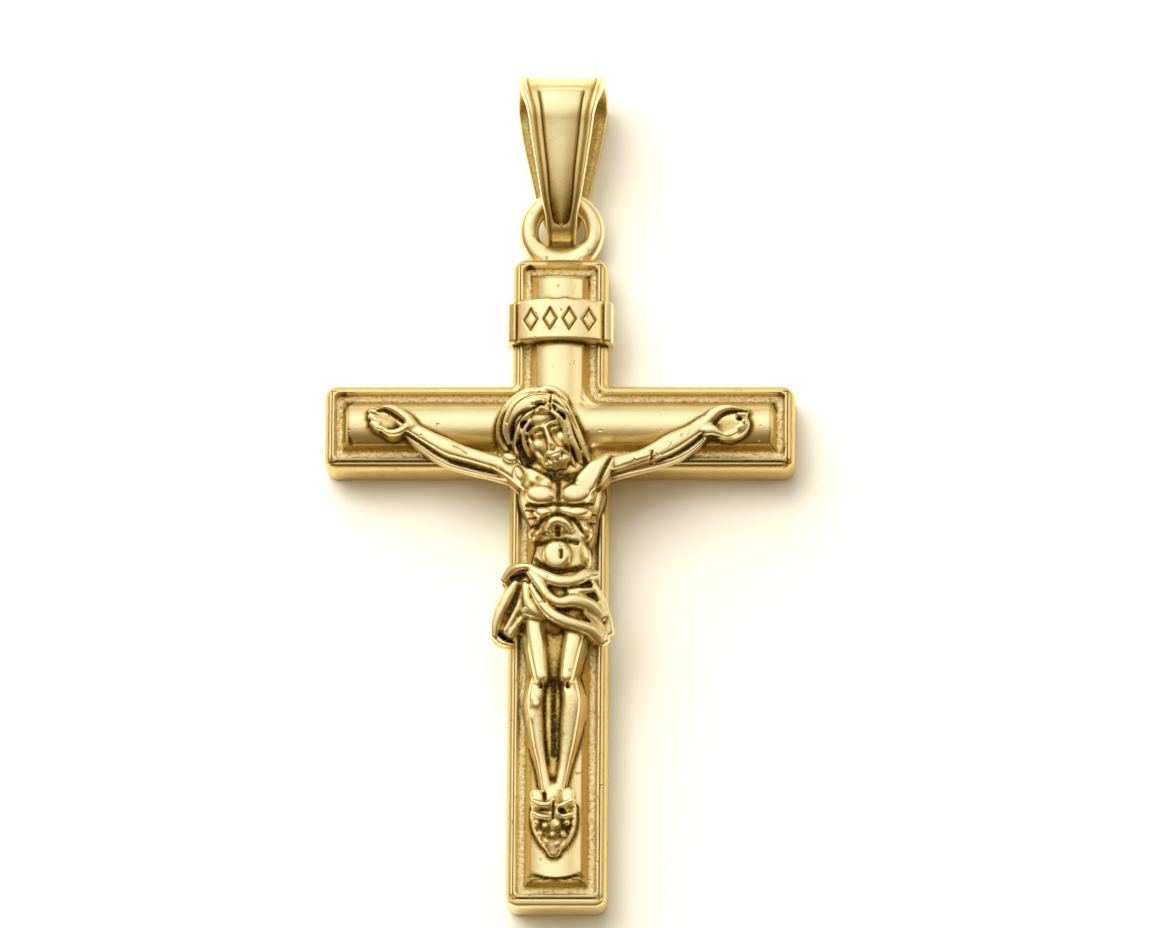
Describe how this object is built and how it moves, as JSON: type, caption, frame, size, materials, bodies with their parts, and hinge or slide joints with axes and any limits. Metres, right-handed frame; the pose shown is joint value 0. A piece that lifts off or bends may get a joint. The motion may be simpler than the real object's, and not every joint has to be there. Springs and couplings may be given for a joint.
{
  "type": "crucifix pendant",
  "caption": "Cast gold crucifix pendant: rimmed cross with a domed panel, figure in high relief, curved title plate and a tapered bail on a ring, lying on its back.",
  "frame": {"origin": "on the surface that the pendant lies on, under the middle of its outline seen from the front", "axes": "+Z out of the front of the pendant, +Y along the upright towards the bail, +X to the viewer's right across the arms"},
  "size_m": [0.0188, 0.034, 0.0042],
  "materials": {
    "yellow_gold": "polished yellow gold, darkened in its recesses",
    "pale_gold": "polished pale yellow gold"
  },
  "bodies": {
    "root": {"cross": "yellow_gold", "corpus": "yellow_gold", "title_plate": "yellow_gold", "bail": "pale_gold"}
  },
  "joints": []
}
